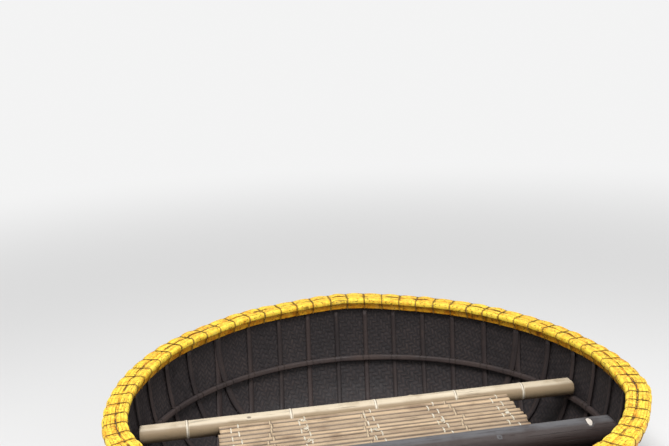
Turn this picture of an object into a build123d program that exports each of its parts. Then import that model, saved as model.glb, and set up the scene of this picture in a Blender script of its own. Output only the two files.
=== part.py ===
from build123d import *
import os
from math import atan2, cos, degrees, hypot, radians, sin, sqrt

# A round basket boat. Its hull is one woven bamboo mat, bowl shaped and tarred. Four split
# bamboo hoops clamp the mat's edge, two outside and two inside, and cord holds them together.
# Bamboo laths stiffen the inside both ways. A hoop half way up the wall carries two thwarts,
# and between these hangs a bench of bamboo slats, tied with twine to the bearers under them.
# Millimetres. Z is up, the origin is under the middle of the bottom, and -Y faces the viewer.

# The bowl, outside
depth = 660              # bottom to the mean height of the rim's top
rim_radius = 1050        # outside of the rim
flat_radius = 330        # the part of the bottom that is flat
bottom_curve = 1500      # radius of the arc outside the flat
bilge_curve = 330        # radius of the turn from bottom to side
side_curve = 1100        # radius of the side below the rim
mat_thickness = 9
tar_film = 0.4           # between the mat and what lies on it, and round every crossing of pieces

# The rim, a pair of hoops on each side of the mat: a wide cap over a narrower clamp
outer_cap_width = 48.5
inner_cap_width = 39.5
cap_height = 27
cap_bevel = 9            # off the top edge that faces away from the mat
outer_clamp_width = 36.5
inner_clamp_width = 22
clamp_height = 31
mat_below_cap = 3        # how far down the mat's edge lies between the caps

# The rim dips at two ends of one line and rises at the ends of the line across it
sheer = 21               # rise and dip, from the mean height
low_line = 13            # degrees, the direction of the dips from +X

# The cord round the hoops
lashing_count = 72
cord_width = 5
cord_thickness = 3
cord_gap = 0.4

# The laths, a lower set that runs front to back and an upper one from side to side
lath_thickness = 5
lath_width = 22
lath_pitch = 140
laths_each_side = 5

# The hoop inside the wall
middle_hoop_top = 265    # below the rim's mean height
middle_hoop_height = 24
middle_hoop_thickness = 14

# The bench, whose line is turned from the boat's
bench_turn = 10          # degrees
front_thwart_radius = 57
back_thwart_radius = 37.5
front_thwart_place = -250   # from the middle of the boat, across the bench
back_thwart_place = 232
thwart_end_gap = 4       # between a thwart's end and the laths
front_end_round = 55     # radius that the thwart's ends are hewn to on top
back_end_round = 20
slat_length = 1240
slat_thickness = 16
slat_crown = 8           # how much a slat's back is domed
slat_gap = 3
slat_below_thwart = 18   # from the back thwart's top down to the slats' top
slat_shares = (28, 39, 38, 33, 34, 28, 33, 36, 30, 33, 27)   # their widths, from the back
bearer_radius = 13
bearer_pitch = 275
bearers_each_side = 2
bearer_tenon = 24        # how far a bearer goes into a thwart
tenon_gap = 0.2          # round a bearer's end in its hole
twine = 2                # thickness of the cord round the slats and bearers

# Values that follow
wall_radius = rim_radius - outer_cap_width       # outer face of the mat at the rim
rim_height = cap_height + clamp_height
upright_start = depth - sheer - rim_height - 5   # the mat is upright above this
lower_laths = mat_thickness + tar_film           # each layer, from the mat's outer face
upper_laths = lower_laths + lath_thickness + tar_film
hoop_bed = upper_laths + lath_thickness + tar_film
hoop_top = depth - middle_hoop_top
cord_bottom = rim_height + cord_gap + cord_thickness     # below the rim's top
lath_end = cord_bottom + tar_film
reach = rim_radius + 150                         # more than the boat, for cutting shapes


def crossing(centre_a, radius_a, centre_b, radius_b):
    """The outer one of the two points where two circles cross."""
    along = (centre_b[0] - centre_a[0], centre_b[1] - centre_a[1])
    span = hypot(*along)
    near = (radius_a**2 - radius_b**2 + span**2) / (2 * span)
    side = sqrt(radius_a**2 - near**2)
    return (
        centre_a[0] + (near * along[0] - side * along[1]) / span,
        centre_a[1] + (near * along[1] + side * along[0]) / span,
    )


# The bowl's three arcs touch one another. The bilge arc's centre is as far from each of the
# other two centres as the difference of their radii.
bottom_centre = (flat_radius, bottom_curve)
side_centre = (wall_radius - side_curve, upright_start)
bilge_centre = crossing(
    bottom_centre, bottom_curve - bilge_curve, side_centre, side_curve - bilge_curve
)
bilge_start = degrees(
    atan2(bilge_centre[1] - bottom_centre[1], bilge_centre[0] - bottom_centre[0])
)
bilge_end = degrees(atan2(bilge_centre[1] - side_centre[1], bilge_centre[0] - side_centre[0]))
# centre, radius, first and last angle
bowl_arcs = (
    (bottom_centre, bottom_curve, -90, bilge_start),
    (bilge_centre, bilge_curve, bilge_start, bilge_end),
    (side_centre, side_curve, bilge_end, 0),
)


def on_arc(centre, radius, angle):
    """The point of a circle at an angle in degrees."""
    return (centre[0] + radius * cos(radians(angle)), centre[1] + radius * sin(radians(angle)))


def bowl_line(inset):
    """Draws half the bowl's section, this far inside its outer face, from middle to rim."""
    Line((0, inset), (flat_radius, inset))
    for centre, radius, first, last in bowl_arcs:
        angles = (first, (first + last) / 2, last)
        ThreePointArc(*(on_arc(centre, radius - inset, angle) for angle in angles))
    Line((wall_radius - inset, upright_start), (wall_radius - inset, depth + sheer))


def bowl_layer(outer, inner):
    """The layer of the bowl between two depths from its outer face."""
    with BuildPart() as layer:
        with BuildSketch(Plane.XZ):
            with BuildLine():
                bowl_line(outer)
                bowl_line(inner)
                Line((0, outer), (0, inner))
                Line((wall_radius - outer, depth + sheer), (wall_radius - inner, depth + sheer))
            make_face()
        revolve(axis=Axis.Z)
    return layer.part


def bowl_inside(inset):
    """All the space inside the bowl, this far from its outer face."""
    with BuildPart() as space:
        with BuildSketch(Plane.XZ):
            with BuildLine():
                bowl_line(inset)
                Line((0, inset), (0, depth + sheer))
                Line((0, depth + sheer), (wall_radius - inset, depth + sheer))
            make_face()
        revolve(axis=Axis.Z)
    return space.part


def rim_line(radius, angle):
    """Height of the rim's top at a radius and at an angle in degrees from +X."""
    along_low_line = radius * cos(radians(angle - low_line))
    return depth + sheer - 2 * sheer * (along_low_line / rim_radius) ** 2


sheer_plane = Plane(
    origin=(0, 0, 0),
    x_dir=(cos(radians(low_line)), sin(radians(low_line)), 0),
    z_dir=(sin(radians(low_line)), -cos(radians(low_line)), 0),
)
sheer_end = rim_line(reach, low_line)


def sheer_slab(low, high):
    """A slab with curved faces that lie this far below and above the rim's top."""
    with BuildPart() as slab:
        with BuildSketch(sheer_plane):
            with BuildLine():
                for rise in (low, high):
                    ThreePointArc(
                        (-reach, sheer_end + rise), (0, depth + sheer + rise), (reach, sheer_end + rise)
                    )
                for side in (-reach, reach):
                    Line((side, sheer_end + low), (side, sheer_end + high))
            make_face()
        extrude(amount=reach, both=True)
    return slab.part


def rim_hoop(inner_radius, outer_radius, low, high):
    """A hoop of the rim between two radii, and between two heights from the rim's top."""
    with BuildPart() as hoop:
        with BuildSketch(Plane.XY):
            Circle(outer_radius)
            Circle(inner_radius, mode=Mode.SUBTRACT)
        extrude(amount=depth + 2 * sheer)
        add(sheer_slab(low, high), mode=Mode.INTERSECT)
    return hoop.part


def top_edges(hoop):
    """The inner and the outer edge of a hoop's top."""
    rings = hoop.edges().filter_by(GeomType.LINE, reverse=True)
    return rings.sort_by(Axis.Z)[-2:].sort_by(SortBy.LENGTH)


def laths(outer, across):
    """A set of parallel laths in one layer, cut off under the cord round the rim's hoops."""
    places = [lath_pitch * step for step in range(-laths_each_side, laths_each_side + 1)]
    with BuildPart() as lath_set:
        with Locations(*((place, 0, 0) if across else (0, place, 0) for place in places)):
            width, length = (lath_width, 2 * reach) if across else (2 * reach, lath_width)
            Box(width, length, 2 * reach)
        add(bowl_layer(outer, outer + lath_thickness), mode=Mode.INTERSECT)
        add(sheer_slab(-depth - 2 * sheer, -lath_end), mode=Mode.INTERSECT)
    return lath_set.part


os.makedirs("parts", exist_ok=True)

# The hull: one mat, its edge just below the top of the groove between the two caps
with BuildPart() as hull_mat:
    add(bowl_layer(0, mat_thickness))
    add(sheer_slab(-depth - 2 * sheer, -mat_below_cap), mode=Mode.INTERSECT)
hull_mat.part.label = "hull_mat"
export_step(hull_mat.part, "parts/hull_mat.step")

# The rim's four hoops
mat_inner_radius = wall_radius - mat_thickness
with BuildPart() as outer_cap_hoop:
    add(rim_hoop(wall_radius + tar_film, rim_radius, -cap_height, 0))
    chamfer(top_edges(outer_cap_hoop)[-1], cap_bevel)
outer_cap_hoop.part.label = "outer_cap_hoop"
export_step(outer_cap_hoop.part, "parts/outer_cap_hoop.step")

with BuildPart() as inner_cap_hoop:
    add(
        rim_hoop(
            mat_inner_radius - inner_cap_width, mat_inner_radius - tar_film, -cap_height, 0
        )
    )
    chamfer(top_edges(inner_cap_hoop)[0], cap_bevel)
inner_cap_hoop.part.label = "inner_cap_hoop"
export_step(inner_cap_hoop.part, "parts/inner_cap_hoop.step")

with BuildPart() as outer_clamp_hoop:
    add(
        rim_hoop(
            wall_radius + tar_film, wall_radius + outer_clamp_width, -rim_height, -cap_height - tar_film
        )
    )
outer_clamp_hoop.part.label = "outer_clamp_hoop"
export_step(outer_clamp_hoop.part, "parts/outer_clamp_hoop.step")

with BuildPart() as inner_clamp_hoop:
    add(
        rim_hoop(
            mat_inner_radius - inner_clamp_width, mat_inner_radius - tar_film, -rim_height,
            -cap_height - tar_film
        )
    )
inner_clamp_hoop.part.label = "inner_clamp_hoop"
export_step(inner_clamp_hoop.part, "parts/inner_clamp_hoop.step")

# The laths
with BuildPart() as laths_lengthways:
    add(laths(lower_laths, across=True))
laths_lengthways.part.label = "laths_lengthways"
export_step(laths_lengthways.part, "parts/laths_lengthways.step")

with BuildPart() as laths_crossways:
    add(laths(upper_laths, across=False))
laths_crossways.part.label = "laths_crossways"
export_step(laths_crossways.part, "parts/laths_crossways.step")

# The hoop that the thwarts rest on, bent to the wall inside the laths
with BuildPart() as middle_hoop:
    add(bowl_layer(hoop_bed, hoop_bed + middle_hoop_thickness))
    with Locations((0, 0, hoop_top)):
        Box(
            2 * reach, 2 * reach, middle_hoop_height,
            align=(Align.CENTER, Align.CENTER, Align.MAX), mode=Mode.INTERSECT,
        )
middle_hoop.part.label = "middle_hoop"
export_step(middle_hoop.part, "parts/middle_hoop.step")

# The bench's own axes: x along the slats, y across them to the back
turn = radians(bench_turn)
bench_plane = Plane(origin=(0, 0, 0), x_dir=(cos(turn), sin(turn), 0), z_dir=(0, 0, 1))
bench_end = Plane(origin=(0, 0, 0), x_dir=(-sin(turn), cos(turn), 0), z_dir=(cos(turn), sin(turn), 0))
bench_side = Plane(origin=(0, 0, 0), x_dir=(cos(turn), sin(turn), 0), z_dir=(sin(turn), -cos(turn), 0))
front_height = hoop_top + front_thwart_radius
back_height = hoop_top + back_thwart_radius
slat_top = hoop_top + 2 * back_thwart_radius - slat_below_thwart
bearer_height = slat_top - slat_thickness - bearer_radius
bearer_places = [bearer_pitch * step for step in range(-bearers_each_side, bearers_each_side + 1)]
thwart_space = bowl_inside(hoop_bed + thwart_end_gap)


def chord_edge(radius, height):
    """How far from its axis a round pole's face is, at a height above or below the axis."""
    return sqrt(radius**2 - height**2)


# The bearers end inside holes in the thwarts
bearer_front = (
    front_thwart_place + chord_edge(front_thwart_radius, front_height - bearer_height) - bearer_tenon
)
bearer_back = (
    back_thwart_place - chord_edge(back_thwart_radius, back_height - bearer_height) + bearer_tenon
)


def bearer(along, gap=0):
    """A thin round pole under the slats, from one thwart into the other, or the hole for it."""
    with BuildPart() as pole:
        with BuildSketch(
            Plane(
                bench_plane.from_local_coords((along, bearer_front - gap, bearer_height)),
                x_dir=bench_plane.x_dir, z_dir=bench_plane.y_dir
            )
        ):
            Circle(bearer_radius + gap)
        extrude(amount=bearer_back - bearer_front + 2 * gap)
    return pole.part


def wall_at(height, inset):
    """Radius of the side of the bowl at a height, this far inside its outer face."""
    centre_radius, centre_height = side_centre
    return centre_radius + sqrt((side_curve - inset) ** 2 - (centre_height - height) ** 2)


def thwart(place, radius, end_round):
    """A round pole from wall to wall with holes for the bearers. Each end is sawn square where
    the pole's underside meets the wall, cut to the bowl beside that and hewn round on top."""
    half_length = sqrt(wall_at(hoop_top, hoop_bed + thwart_end_gap) ** 2 - place**2)
    with BuildPart() as pole:
        with BuildSketch(bench_end):
            with Locations((place, hoop_top + radius)):
                Circle(radius)
        extrude(amount=reach, both=True)
        add(thwart_space, mode=Mode.INTERSECT)
        with BuildSketch(bench_side) as side_view:
            with Locations((0, hoop_top)):
                Rectangle(2 * half_length, 2 * radius, align=(Align.CENTER, Align.MIN))
            fillet(side_view.vertices().group_by(Axis.Y)[-1], end_round)
        extrude(amount=reach, both=True, mode=Mode.INTERSECT)
        for along in bearer_places:
            add(bearer(along, tenon_gap), mode=Mode.SUBTRACT)
    return pole.part


for number, along in enumerate(bearer_places, start=1):
    name = f"bench_bearer_{number}"
    with BuildPart() as bench_bearer:
        add(bearer(along))
    bench_bearer.part.label = name
    export_step(bench_bearer.part, f"parts/{name}.step")

with BuildPart() as front_thwart:
    add(thwart(front_thwart_place, front_thwart_radius, front_end_round))
front_thwart.part.label = "front_thwart"
export_step(front_thwart.part, "parts/front_thwart.step")

with BuildPart() as back_thwart:
    add(thwart(back_thwart_place, back_thwart_radius, back_end_round))
back_thwart.part.label = "back_thwart"
export_step(back_thwart.part, "parts/back_thwart.step")

# The slats fill the space between the thwarts, each a split of bamboo with a domed back
slats_back = back_thwart_place - back_thwart_radius
slats_front = front_thwart_place + front_thwart_radius
slat_room = slats_back - slats_front - slat_gap * (len(slat_shares) + 1)
slat_back = slats_back - slat_gap
slat_low, shoulder = slat_top - slat_thickness, slat_top - slat_crown
gap_places = [slats_back - slat_gap / 2]
for number, share in enumerate(slat_shares, start=1):
    name = f"bench_slat_{number}"
    slat_width = slat_room * share / sum(slat_shares)
    slat_front = slat_back - slat_width
    with BuildPart() as bench_slat:
        with BuildSketch(bench_end):
            with BuildLine():
                Polyline(
                    (slat_back, shoulder), (slat_back, slat_low), (slat_front, slat_low),
                    (slat_front, shoulder)
                )
                ThreePointArc(
                    (slat_front, shoulder), ((slat_front + slat_back) / 2, slat_top), (slat_back, shoulder)
                )
            make_face()
        extrude(amount=slat_length / 2, both=True)
    bench_slat.part.label = name
    export_step(bench_slat.part, f"parts/{name}.step")
    slat_back = slat_front - slat_gap
    gap_places.append(slat_front - slat_gap / 2)

# The twine takes a turn round the bearer in each gap. Between turns it lies over a slat, by
# turns on the bearer's one side and on its other.
twine_aside = bearer_radius + cord_gap + twine / 2
twine_low = bearer_height - bearer_radius - cord_gap - twine
twine_high = slat_top + cord_gap + twine
with BuildPart() as lashing:
    with Locations(*((side * twine_aside, gap, twine_low) for gap in gap_places for side in (-1, 1))):
        Box(twine, twine, twine_high - twine_low, align=(Align.CENTER, Align.CENTER, Align.MIN))
    with Locations(*((0, gap, twine_low) for gap in gap_places)):
        Box(2 * twine_aside, twine, twine, align=(Align.CENTER, Align.CENTER, Align.MIN))
    for number, (back, front) in enumerate(zip(gap_places, gap_places[1:])):
        with Locations(((-1) ** number * twine_aside, (back + front) / 2, twine_high)):
            Box(twine, back - front, twine, align=(Align.CENTER, Align.CENTER, Align.MAX))
with BuildPart() as slat_lashings:
    with Locations(bench_plane.location):
        with Locations(*((along, 0, 0) for along in bearer_places)):
            add(lashing.part)
slat_lashings.part.label = "slat_lashings"
export_step(slat_lashings.part, "parts/slat_lashings.step")

# The cord: a loop over all four hoops at each place, its two ends beside the mat under the clamps
with BuildPart() as rim_lashings:
    for step in range(lashing_count):
        angle = 360 * step / lashing_count
        # radius and distance below the rim's top, from the mat round to the mat again
        corners = (
            (wall_radius, rim_height),
            (wall_radius + outer_clamp_width, rim_height),
            (rim_radius, cap_height),
            (rim_radius, cap_bevel),
            (rim_radius - cap_bevel, 0),
            (mat_inner_radius - inner_cap_width + cap_bevel, 0),
            (mat_inner_radius - inner_cap_width, cap_bevel),
            (mat_inner_radius - inner_cap_width, cap_height),
            (mat_inner_radius - inner_clamp_width, rim_height),
            (mat_inner_radius, rim_height),
        )
        outline = [(radius, rim_line(radius, angle) - below) for radius, below in corners]
        plane = Plane(
            origin=(0, 0, 0),
            x_dir=(cos(radians(angle)), sin(radians(angle)), 0),
            z_dir=(sin(radians(angle)), -cos(radians(angle)), 0),
        )
        with BuildSketch(plane):
            with BuildLine():
                Polyline(*outline, close=True)
            make_face()
            offset(amount=cord_gap + cord_thickness, kind=Kind.INTERSECTION)
            with BuildSketch(mode=Mode.SUBTRACT):
                with BuildLine():
                    Polyline(*outline, close=True)
                make_face()
                offset(amount=cord_gap, kind=Kind.INTERSECTION)
            with Locations((wall_radius - mat_thickness / 2, depth - rim_height)):
                Rectangle(mat_thickness + 2 * tar_film, rim_height, mode=Mode.SUBTRACT)
        extrude(amount=cord_width / 2, both=True)
rim_lashings.part.label = "rim_lashings"
export_step(rim_lashings.part, "parts/rim_lashings.step")
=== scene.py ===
from itertools import product

import bpy
import numpy as np
from mathutils import Matrix


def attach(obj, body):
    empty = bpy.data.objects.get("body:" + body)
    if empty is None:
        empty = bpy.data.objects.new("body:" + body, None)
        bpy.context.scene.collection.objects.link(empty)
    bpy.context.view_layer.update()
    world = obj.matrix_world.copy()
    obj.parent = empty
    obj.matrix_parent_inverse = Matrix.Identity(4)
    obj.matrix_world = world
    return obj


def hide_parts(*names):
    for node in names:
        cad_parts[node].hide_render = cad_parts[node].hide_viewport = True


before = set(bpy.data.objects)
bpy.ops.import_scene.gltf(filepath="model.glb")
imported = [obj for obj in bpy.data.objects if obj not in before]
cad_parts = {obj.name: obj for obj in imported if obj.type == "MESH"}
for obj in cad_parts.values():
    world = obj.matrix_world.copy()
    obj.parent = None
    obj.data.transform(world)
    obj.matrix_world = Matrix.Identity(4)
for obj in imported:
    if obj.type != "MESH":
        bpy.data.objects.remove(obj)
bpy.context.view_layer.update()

# The hull: one mat of split bamboo, woven two over and two under and pressed into a bowl, then
# sealed on both faces with dark resin. Its edge stands in the groove between the rim's caps.
pitch = 0.018  # from strip to strip
strip_steps = range(-78, 79)
half_width = (0.45, 0.485)  # least and most of a strip's half width, as a share of the pitch
weave_depth = 0.0014  # a strip's swing to each side of the mat's middle
strip_belly = 0.0012  # half a strip's thickness at its middle
mat_middle = 0.0045  # the mat's middle, inside its outer face
mat_radius = 1.42  # of the mat laid flat
mat_below_cap = 0.003
wall_radius = 1.0015  # the mat's outer face at the rim
upright_from = 0.576  # height above which the wall is upright
flat_radius, bottom_curve, bilge_curve, side_curve = 0.33, 1.5, 0.33, 1.1
bilge_centre = (0.64426, 0.37299)
rim_radius, rim_height = 1.05, 0.66
sheer, dip_line = 0.021, np.radians(13)
bends = ((0.011, 353, 6.5), (0.005, 8, 16), (0.009, 197, 9))  # out, place and width in degrees
bent_from, bent_over = 0.41, 0.19  # height where the wall starts to take up the rim's bends

# The bowl's section turns at an even rate along each arc, so its slope is found by
# interpolation on the length along it, and radius and height are that slope's running sums.
first_slope = np.arctan2(bilge_centre[0] - flat_radius, bottom_curve - bilge_centre[1])
second_slope = np.arctan2(
    bilge_centre[0] - wall_radius + side_curve, upright_from - bilge_centre[1])
joins = np.cumsum([
    0, flat_radius, bottom_curve * first_slope, bilge_curve * (second_slope - first_slope),
    side_curve * (np.pi / 2 - second_slope), 1])
section_length = np.linspace(0, 1.6, 16001)
section_slope = np.interp(
    section_length, joins, [0, 0, first_slope, second_slope, np.pi / 2, np.pi / 2])
middle_slope = (section_slope[1:] + section_slope[:-1]) / 2
section_radius = np.concatenate([[0], np.cumsum(np.cos(middle_slope))]) * section_length[1]
section_height = np.concatenate([[0], np.cumsum(np.sin(middle_slope))]) * section_length[1]
upright_length = joins[4]


def columns(*values):
    """Values side by side along a new last axis, each first spread to the size of the largest."""
    return np.stack(np.broadcast_arrays(*values), -1)


def on_circle(radius, angle, height):
    """The point at a radius and an angle about the upright axis, and a height."""
    return columns(radius * np.cos(angle), radius * np.sin(angle), height)


def full_turn(count):
    """The angles of a whole turn in even steps."""
    return np.linspace(0, 2 * np.pi, count, endpoint=False)


def bump(angle, middle, width):
    """A smooth bump of height 1 at an angle in degrees: the bell curve of the turn from there."""
    turned = (angle - np.radians(middle) + np.pi) % (2 * np.pi) - np.pi
    return np.exp(-(turned / np.radians(width))**2)


def bent_out(angle):
    """How far the hand-bent rim stands out from a true round: the sum of its bends."""
    return sum(out * bump(angle, middle, width) for out, middle, width in bends)


def bent(points):
    """Moves points out with the rim's bends, by a share that fades from the rim down the wall
    as three squares less two cubes of the height's share."""
    angle = np.arctan2(points[..., 1], points[..., 0])
    share = np.clip((points[..., 2] - bent_from) / bent_over, 0, 1)
    out = (bent_out(angle) * share**2 * (3 - 2 * share))[..., None]
    return points + out * on_circle(1, angle, 0)


def on_section(length, inset):
    """Radius and height of the section at a length from its middle, moved inwards along the
    outer face's normal by the inset."""
    slope = np.interp(length, section_length, section_slope)
    return (np.interp(length, section_length, section_radius) - inset * np.sin(slope),
            np.interp(length, section_length, section_height) + inset * np.cos(slope))


def on_bowl(length, angle, inset):
    """The section's point, turned by an angle about the upright axis."""
    radius, height = on_section(length, inset)
    return bent(on_circle(radius, angle, height))


def rim_top(radius, angle):
    """Height of the rim's top: the mean plus a sheer that falls with the square of the
    distance along the line of the two dips."""
    along = radius * np.cos(angle - dip_line) / rim_radius
    return rim_height + sheer - 2 * sheer * along**2


def mat_end(angle):
    """Length along the section to the mat's cut edge under the rim's top."""
    return upright_length + rim_top(wall_radius, angle) - mat_below_cap - upright_from


def laid(along, across, crosswise):
    """X and Y of a place along and across a strip: a crosswise strip runs along X, any other
    along Y."""
    return (along, across) if crosswise else (across, along)


def bearing(along, across, crosswise):
    """The angle about the upright axis of a place along and across a strip."""
    x, y = laid(along, across, crosswise)
    return np.arctan2(y, x)


def skin(rings, grain, wear_and_shade=0.0, joined=False):
    """Quads over a stack of rings, with the ends closed by quads across the first and last ring,
    or with the last ring joined to the first. The faces are turned so that the volume that they
    enclose, the sum of the tetrahedra from the first point, is positive."""
    rows, count = rings.shape[:2]
    numbers = np.arange(rows * count).reshape(rows, count)
    if joined:
        numbers = np.vstack([numbers, numbers[:1]])
    here, there = numbers[:-1], numbers[1:]
    quads = np.stack([here, np.roll(here, -1, 1), np.roll(there, -1, 1), there], -1).reshape(-1, 4)
    if not joined:
        i = np.arange(count // 2 - 1)
        cap = np.stack([i, i + 1, count - 2 - i, count - 1 - i], -1)
        quads = np.vstack([quads, cap[:, [1, 0, 3, 2]], cap + (rows - 1) * count])
    points = rings.reshape(-1, 3)
    a, b, c, d = (points[quads[:, k]] - points[0] for k in range(4))
    if (a * (np.cross(b, c) + np.cross(c, d))).sum() < 0:
        quads = quads[:, ::-1]
    return (points, quads, np.broadcast_to(grain, (rows, count, 3)).reshape(-1, 3),
            np.broadcast_to(wear_and_shade, (rows, count)).reshape(-1))


def piece(name, skins, slot, finish, *nodes, crisp=False):
    """One mesh of several skins, riding on the boat in place of the CAD nodes named. Attribute
    grain holds the length along a strip, the place across it and the strip's own number, and
    attribute wear_and_shade holds how worn or dirty a point is together with the painted shade or
    highlight that it carries. On crisp skins, whose sections have four points, the edges along the
    first and third point are sharp."""
    points, grain, wear_and_shade = (np.concatenate([s[k] for s in skins]) for k in (0, 2, 3))
    starts = np.cumsum([0] + [len(s[0]) for s in skins[:-1]])
    quads = np.concatenate([s[1] + start for s, start in zip(skins, starts)])
    mesh = bpy.data.meshes.new(name)
    mesh.from_pydata(points.tolist(), [], quads.tolist())
    mesh.shade_smooth()
    if crisp:
        ends = np.empty(2 * len(mesh.edges), np.int32)
        mesh.edges.foreach_get("vertices", ends)
        first, second = ends.reshape(-1, 2).T % 4
        sharp = mesh.attributes.new("sharp_edge", "BOOLEAN", "EDGE")
        sharp.data.foreach_set("value", (first == second) & (first % 2 == 0))
    mesh.attributes.new("grain", "FLOAT_VECTOR", "POINT").data.foreach_set("vector", grain.ravel())
    mesh.attributes.new("wear_and_shade", "FLOAT", "POINT").data.foreach_set("value", wear_and_shade)
    mesh.materials.append(finish)
    made = bpy.data.objects.new(name, mesh)
    bpy.context.scene.collection.objects.link(made)
    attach(made, "root")
    if nodes:
        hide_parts(*nodes)


def shade(red, green, blue):
    """A colour as a paint card gives it, from 0 to 255, as the light it reflects: the card's
    value to the power 2.4 after an offset, or a straight line near black."""
    card = np.array([red, green, blue]) / 255
    light = np.where(card > 0.04045, ((card + 0.055) / 1.055) ** 2.4, card / 12.92)
    return (*light, 1.0)


class Tone:
    """A socket of a finish that takes part in sums: each operator adds a Math node."""

    def __init__(self, nodes, socket):
        self.nodes, self.socket = nodes, socket

    def maths(self, operation, first, second):
        return self.nodes.node("Math", {"operation": operation}, {0: first, 1: second})

    def __add__(self, other):
        return self.maths("ADD", self, other)

    def __sub__(self, other):
        return self.maths("SUBTRACT", self, other)

    def __rsub__(self, other):
        return self.maths("SUBTRACT", other, self)

    def __mul__(self, other):
        return self.maths("MULTIPLY", self, other)

    __radd__, __rmul__ = __add__, __mul__


class Nodes:
    """The nodes of a material or of the sky."""

    def __init__(self, owner):
        owner.use_nodes = True
        self.tree = owner.node_tree

    def node(self, kind, settings, inputs, output=0):
        """Adds a node: its settings first, then each socket's value or link."""
        made = self.tree.nodes.new("ShaderNode" + kind)
        for name, value in settings.items():
            setattr(made, name, value)
        for name, value in inputs.items():
            self.feed(made, name, value)
        return Tone(self, made.outputs[output])

    def feed(self, node, name, value):
        """Gives one socket of a node its value or link."""
        if isinstance(value, Tone):
            self.tree.links.new(value.socket, node.inputs[name])
        else:
            node.inputs[name].default_value = value


class Finish(Nodes):
    """A material whose shader is fed through its own sockets and its Normal through a bump."""

    def __init__(self, name, roughness=0.6):
        self.material = bpy.data.materials.new(name)
        super().__init__(self.material)
        self.shader = self.tree.nodes["Principled BSDF"]
        self.feed(self.shader, "Roughness", roughness)
        self.grain = self.node("Attribute", {"attribute_name": "grain"}, {}, "Vector")
        self.wear_and_shade = self.node("Attribute", {"attribute_name": "wear_and_shade"}, {}, "Fac")
        self.place = self.node("TexCoord", {}, {}, "Object")

    def noise(self, where, stretch, detail=3.0, roughness=0.55):
        """Cloudy noise from 0 to 1, finer along each axis by that axis's stretch."""
        scaled = self.node("VectorMath", {"operation": "MULTIPLY"}, {0: where, 1: stretch})
        return self.node(
            "TexNoise", {}, {"Vector": scaled, "Scale": 1.0, "Detail": detail,
                             "Roughness": roughness}, "Fac")

    def rise(self, value, low, high):
        """From 0 below the low value smoothly to 1 above the high one."""
        return self.node(
            "MapRange", {"interpolation_type": "SMOOTHSTEP"},
            {"Value": value, "From Min": low, "From Max": high}, "Result")

    def mix(self, share, first, second):
        """The first colour, with a share of the second: each is a socket or a paint card's."""
        first, second = (c if isinstance(c, Tone) else shade(*c) for c in (first, second))
        return self.node("Mix", {"data_type": "RGBA"}, {0: share, 6: first, 7: second}, 2)

    def part(self, vector, axis):
        """One coordinate of a vector."""
        return self.node("SeparateXYZ", {}, {0: vector}, axis)

    def own(self):
        """A number from 0 to 1 that each strip keeps all over."""
        return self.node("TexWhiteNoise", {"noise_dimensions": "1D"},
                         {"W": self.part(self.grain, "Z")}, "Value")

    def wears(self, colour, roughness, height, depth):
        """Feeds the shader its colour, roughness and a bump of this depth in metres."""
        relief = self.node("Bump", {}, {"Height": height, "Strength": 1.0, "Distance": depth})
        for name, tone in (("Base Color", colour), ("Roughness", roughness), ("Normal", relief)):
            self.feed(self.shader, name, tone)
        return self.material


def tarred(name, dark, light, worn):
    """Split bamboo under resin: each strip has its own tone between the dark and light ones,
    fine fibres run along it, resin lies in shinier patches, and what is raised or low down on
    the boat is worn lighter. On a lath's back that lightening is also a painted highlight."""
    finish = Finish(name)
    fibre = finish.noise(finish.grain, (9, 900, 40), detail=4)
    patch = finish.noise(finish.place, (7, 7, 7), detail=4, roughness=0.65)
    speck = finish.noise(finish.place, (160, 160, 160), detail=2)
    tone = finish.own() * 0.5 + fibre * 0.25 + patch * 0.4 - 0.1
    base = finish.mix(finish.rise(tone, 0.15, 0.95), dark, light)
    scuffed = (1 - finish.rise(finish.part(finish.place, "Z"), 0.0, 0.16)) * 0.25
    worn_and_lit = finish.rise(finish.wear_and_shade * 0.5 + patch * 0.7 + fibre * 0.4 + scuffed, 0.72, 1.15)
    base = finish.mix(worn_and_lit * 0.5, base, worn)
    rough = finish.rise(patch * 0.8 + speck * 0.3, 0.3, 0.8) * 0.3 + 0.55
    return finish.wears(base, rough, fibre * 0.35 + speck * 0.5 + patch * 1.2, 0.0009)


mat_finish = tarred("tarred mat", (24, 20, 23), (46, 39, 40), (72, 60, 56))


def woven(crosswise):
    """The strips of one direction. A flat mat's point keeps its distance and direction from the
    middle on the bowl. A strip's end is found from the mat's radius and then, four times over,
    from the edge's length in the end's own direction. A strip swings to one face over two
    crossings and to the other under the next two, and each strip does so one crossing later
    than its neighbour."""
    chance = np.random.default_rng(4 + crosswise)
    skins = []
    for number in strip_steps:
        across = number * pitch + pitch * chance.uniform(*half_width) * np.array([-1, 0, 1, 0])
        ends = []
        for side in (-1, 1):
            reach = side * np.sqrt(mat_radius**2 - across**2)
            for _ in range(4):
                edge = mat_end(bearing(reach, across, crosswise))
                reach = side * np.sqrt(np.maximum(edge**2 - across**2, 0))
            ends.append(reach)
        steps = np.arange(np.ceil(ends[0].max() / pitch + 0.3),
                          np.floor(ends[1].min() / pitch - 0.3) + 1).astype(int)
        if len(steps) < 3:
            continue
        along = np.vstack([ends[0], np.repeat(steps[:, None] * pitch, 4, 1), ends[1]])
        swing = np.where((number + steps) % 4 < 2, 1, -1) * (-1 if crosswise else 1)
        swing = np.concatenate([swing[:1], swing, swing[-1:]])[:, None]
        face = np.array([0, 1, 0, -1])
        inset = mat_middle + weave_depth * swing + strip_belly * face
        rings = on_bowl(np.hypot(along, across), bearing(along, across, crosswise), inset)
        skins.append(skin(rings, columns(along, across, number * 1.7), swing * face))
    return skins


piece("mat_lengthways", woven(False), "tarred_weave", mat_finish, "hull_mat", crisp=True)
piece("mat_crossways", woven(True), "tarred_weave", mat_finish, "hull_mat", crisp=True)

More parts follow.
